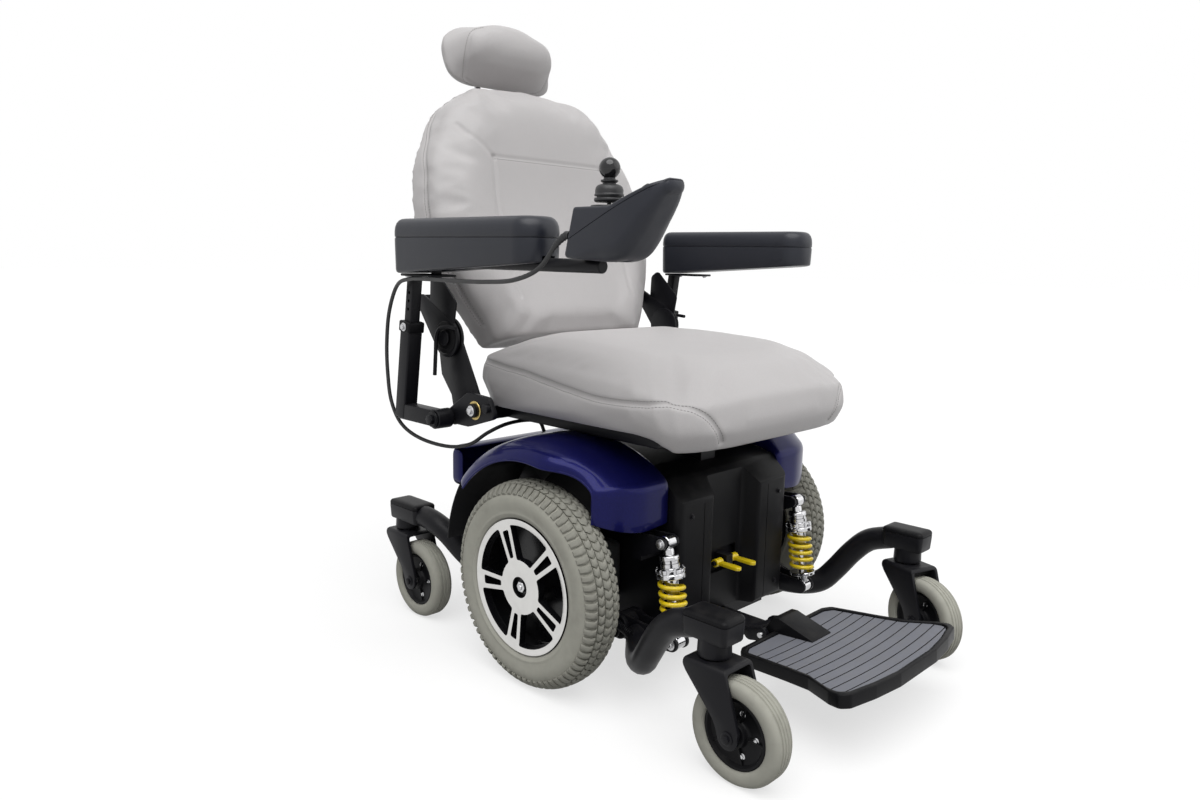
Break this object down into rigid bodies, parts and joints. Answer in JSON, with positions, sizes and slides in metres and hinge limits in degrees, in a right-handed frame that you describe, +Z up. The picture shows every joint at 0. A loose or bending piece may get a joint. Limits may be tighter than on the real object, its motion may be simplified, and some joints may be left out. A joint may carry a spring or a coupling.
{
  "type": "power wheelchair",
  "caption": "Mid-wheel-drive power wheelchair with sprung caster arms, padded reclining seat, flip-back armrests, folding foot platform and joystick control.",
  "frame": {"origin": "middle of the chair's length and width, on the floor under the wheels, cable left out", "axes": "+Z up; the chair faces -Y; +X is the sitter's left"},
  "size_m": [0.8035, 1.0683, 1.2066],
  "materials": {
    "black_plastic": "satin moulded black",
    "black_paint": "black powder coat",
    "blue_paint": "dark metallic blue, gloss",
    "grey_tyre": "grey non-marking rubber",
    "cast_rim": "machined silver",
    "chrome": "bright plated",
    "yellow_coil": "yellow coat",
    "grey_vinyl": "grey vinyl over foam",
    "black_rubber": "matt black",
    "battery_case": "matt dark grey",
    "motor_grey": "grey cast case"
  },
  "bodies": {
    "base": {"chassis_frame": "black_paint", "left_shroud": "blue_paint", "right_shroud": "blue_paint", "battery_cover": "black_plastic", "rear_cover": "blue_paint", "left_battery": "battery_case", "right_battery": "battery_case", "power_module": "motor_grey", "left_motor": "motor_grey", "right_motor": "motor_grey", "seat_post": "black_paint", "seat_frame": "black_paint", "seat_cushion": "grey_vinyl", "footrest_mount": "black_paint", "joystick_cable": "black_rubber"},
    "left_drive_wheel": {"left_drive_tyre": "grey_tyre", "left_drive_rim": "cast_rim"},
    "left_lever": {"left_freewheel_lever": "yellow_coil"},
    "left_front_link": {"left_front_arm": "black_paint"},
    "left_shock_upper": {"left_shock_body": "chrome", "left_shock_spring": "yellow_coil"},
    "left_shock_lower": {"left_shock_rod": "chrome"},
    "left_rear_link": {"left_rear_arm": "black_paint"},
    "left_front_swivel": {"left_front_fork": "black_paint"},
    "left_front_caster": {"left_front_caster_tyre": "grey_tyre", "left_front_caster_hub": "black_plastic"},
    "left_rear_swivel": {"left_rear_fork": "black_paint"},
    "left_rear_caster": {"left_rear_caster_tyre": "grey_tyre", "left_rear_caster_hub": "black_plastic"},
    "left_armrest_flip": {"left_armrest_arm": "black_paint"},
    "left_armrest_lift": {"left_armrest_post": "black_paint", "left_armrest_pad": "black_plastic"},
    "right_drive_wheel": {"right_drive_tyre": "grey_tyre", "right_drive_rim": "cast_rim"},
    "right_lever": {"right_freewheel_lever": "yellow_coil"},
    "right_front_link": {"right_front_arm": "black_paint"},
    "right_shock_upper": {"right_shock_body": "chrome", "right_shock_spring": "yellow_coil"},
    "right_shock_lower": {"right_shock_rod": "chrome"},
    "right_rear_link": {"right_rear_arm": "black_paint"},
    "right_front_swivel": {"right_front_fork": "black_paint"},
    "right_front_caster": {"right_front_caster_tyre": "grey_tyre", "right_front_caster_hub": "black_plastic"},
    "right_rear_swivel": {"right_rear_fork": "black_paint"},
    "right_rear_caster": {"right_rear_caster_tyre": "grey_tyre", "right_rear_caster_hub": "black_plastic"},
    "right_armrest_flip": {"right_armrest_arm": "black_paint"},
    "right_armrest_lift": {"right_armrest_post": "black_paint", "right_armrest_pad": "black_plastic"},
    "foot_platform": {"footplate": "black_plastic"},
    "backrest": {"back_frame": "black_plastic", "back_cushion": "grey_vinyl"},
    "headrest": {"headrest_stays": "chrome", "headrest_cushion": "grey_vinyl"},
    "joystick": {"joystick_housing": "black_plastic"},
    "gimbal": {"joystick_gimbal": "motor_grey"},
    "stick": {"joystick_stick": "black_rubber"},
    "power_key": {"power_button": "black_rubber"},
    "horn_key": {"horn_button": "black_rubber"},
    "speed_key": {"speed_button": "black_rubber"}
  },
  "joints": [
    {"name": "left_drive_spin", "type": "hinge", "parent": "base", "child": "left_drive_wheel", "pos_m": [0.308, 0.0079, 0.178], "axis": [1, 0, 0], "continuous": true},
    {"name": "left_lever_turn", "type": "hinge", "parent": "base", "child": "left_lever", "pos_m": [0.022, -0.1601, 0.19], "axis": [1, 0, 0], "range_deg": [0, 35]},
    {"name": "left_front_swing", "type": "hinge", "parent": "base", "child": "left_front_link", "pos_m": [0.19, -0.0971, 0.105], "axis": [-1, 0, 0], "range_deg": [-3, 7], "stiffness_Nm_per_rad": 600, "springref_deg": -1.72},
    {"name": "left_shock_tilt", "type": "hinge", "parent": "base", "child": "left_shock_upper", "pos_m": [0.19, -0.1831, 0.27], "axis": [-1, 0, 0], "range_deg": [-0.4, 0.8]},
    {"name": "left_shock_stroke", "type": "slide", "parent": "left_shock_upper", "child": "left_shock_lower", "axis": [0, 0.1575, 0.9875], "range_m": [-0.0062, 0.014], "deforming": ["left_shock_spring"]},
    {"name": "left_rear_swing", "type": "hinge", "parent": "base", "child": "left_rear_link", "pos_m": [0.19, 0.1829, 0.098], "axis": [1, 0, 0], "range_deg": [-3, 5], "stiffness_Nm_per_rad": 1200, "springref_deg": -1.43},
    {"name": "left_front_swivel_turn", "type": "hinge", "parent": "left_front_link", "child": "left_front_swivel", "pos_m": [0.296, -0.3641, 0.19], "axis": [0, 0, 1], "continuous": true},
    {"name": "left_front_caster_spin", "type": "hinge", "parent": "left_front_swivel", "child": "left_front_caster", "pos_m": [0.28024, -0.4126, 0.0765], "axis": [0.9511, -0.309, 0], "continuous": true},
    {"name": "left_rear_swivel_turn", "type": "hinge", "parent": "left_rear_link", "child": "left_rear_swivel", "pos_m": [0.278, 0.4359, 0.19], "axis": [0, 0, 1], "continuous": true},
    {"name": "left_rear_caster_spin", "type": "hinge", "parent": "left_rear_swivel", "child": "left_rear_caster", "pos_m": [0.278, 0.3849, 0.0765], "axis": [1, 0, 0], "continuous": true},
    {"name": "left_armrest_flip_up", "type": "hinge", "parent": "base", "child": "left_armrest_flip", "pos_m": [0.3575, 0.2079, 0.4385], "axis": [-1, 0, 0], "range_deg": [0, 95]},
    {"name": "left_armrest_height", "type": "slide", "parent": "left_armrest_flip", "child": "left_armrest_lift", "axis": [0, -0.1392, 0.9903], "range_m": [-0.01, 0.07]},
    {"name": "right_drive_spin", "type": "hinge", "parent": "base", "child": "right_drive_wheel", "pos_m": [-0.308, 0.0079, 0.178], "axis": [1, 0, 0], "continuous": true},
    {"name": "right_lever_turn", "type": "hinge", "parent": "base", "child": "right_lever", "pos_m": [-0.022, -0.1601, 0.19], "axis": [1, 0, 0], "range_deg": [0, 35]},
    {"name": "right_front_swing", "type": "hinge", "parent": "base", "child": "right_front_link", "pos_m": [-0.19, -0.0971, 0.105], "axis": [-1, 0, 0], "range_deg": [-3, 7], "stiffness_Nm_per_rad": 600, "springref_deg": -1.72},
    {"name": "right_shock_tilt", "type": "hinge", "parent": "base", "child": "right_shock_upper", "pos_m": [-0.19, -0.1831, 0.27], "axis": [-1, 0, 0], "range_deg": [-0.4, 0.8]},
    {"name": "right_shock_stroke", "type": "slide", "parent": "right_shock_upper", "child": "right_shock_lower", "axis": [0, 0.1575, 0.9875], "range_m": [-0.0062, 0.014], "deforming": ["right_shock_spring"]},
    {"name": "right_rear_swing", "type": "hinge", "parent": "base", "child": "right_rear_link", "pos_m": [-0.19, 0.1829, 0.098], "axis": [1, 0, 0], "range_deg": [-3, 5], "stiffness_Nm_per_rad": 1200, "springref_deg": -1.43},
    {"name": "right_front_swivel_turn", "type": "hinge", "parent": "right_front_link", "child": "right_front_swivel", "pos_m": [-0.296, -0.3641, 0.19], "axis": [0, 0, 1], "continuous": true},
    {"name": "right_front_caster_spin", "type": "hinge", "parent": "right_front_swivel", "child": "right_front_caster", "pos_m": [-0.296, -0.4151, 0.0765], "axis": [1, 0, 0], "continuous": true},
    {"name": "right_rear_swivel_turn", "type": "hinge", "parent": "right_rear_link", "child": "right_rear_swivel", "pos_m": [-0.278, 0.4359, 0.19], "axis": [0, 0, 1], "continuous": true},
    {"name": "right_rear_caster_spin", "type": "hinge", "parent": "right_rear_swivel", "child": "right_rear_caster", "pos_m": [-0.278, 0.3849, 0.0765], "axis": [1, 0, 0], "continuous": true},
    {"name": "right_armrest_flip_up", "type": "hinge", "parent": "base", "child": "right_armrest_flip", "pos_m": [-0.3575, 0.2079, 0.4385], "axis": [-1, 0, 0], "range_deg": [0, 95], "deforming": ["joystick_cable"]},
    {"name": "right_armrest_height", "type": "slide", "parent": "right_armrest_flip", "child": "right_armrest_lift", "axis": [0, -0.1392, 0.9903], "range_m": [-0.01, 0.07], "deforming": ["joystick_cable"]},
    {"name": "foot_fold", "type": "hinge", "parent": "base", "child": "foot_platform", "pos_m": [0, -0.2701, 0.094], "axis": [-1, 0, 0], "range_deg": [0, 80]},
    {"name": "recline", "type": "hinge", "parent": "base", "child": "backrest", "pos_m": [0, 0.2579, 0.575], "axis": [1, 0, 0], "range_deg": [-25, 42]},
    {"name": "headrest_height", "type": "slide", "parent": "backrest", "child": "headrest", "axis": [0, 0.3256, 0.9455], "range_m": [0, 0.06]},
    {"name": "joystick_reach", "type": "slide", "parent": "right_armrest_lift", "child": "joystick", "axis": [0, -1, 0], "range_m": [-0.04, 0.01], "deforming": ["joystick_cable"]},
    {"name": "stick_pitch", "type": "hinge", "parent": "joystick", "child": "gimbal", "pos_m": [-0.3575, -0.1971, 0.804], "axis": [1, 0, 0], "range_deg": [-18, 18], "stiffness_Nm_per_rad": 0.15},
    {"name": "stick_roll", "type": "hinge", "parent": "gimbal", "child": "stick", "pos_m": [-0.3575, -0.1971, 0.804], "axis": [0, 1, 0], "range_deg": [-18, 18], "stiffness_Nm_per_rad": 0.15},
    {"name": "power_press", "type": "slide", "parent": "joystick", "child": "power_key", "axis": [0, 0.213, 0.977], "range_m": [-0.0012, 0], "stiffness_N_per_m": 300},
    {"name": "horn_press", "type": "slide", "parent": "joystick", "child": "horn_key", "axis": [0, 0.213, 0.977], "range_m": [-0.0012, 0], "stiffness_N_per_m": 300},
    {"name": "speed_press", "type": "slide", "parent": "joystick", "child": "speed_key", "axis": [0, 0.213, 0.977], "range_m": [-0.0012, 0], "stiffness_N_per_m": 300}
  ],
  "couplings": [
    {"joint": "left_shock_tilt", "follows": "left_front_swing", "ratio": 0.0949},
    {"joint": "left_shock_stroke", "follows": "left_front_swing", "m_per_rad": 0.1109},
    {"joint": "right_shock_tilt", "follows": "right_front_swing", "ratio": 0.0949},
    {"joint": "right_shock_stroke", "follows": "right_front_swing", "m_per_rad": 0.1109}
  ]
}
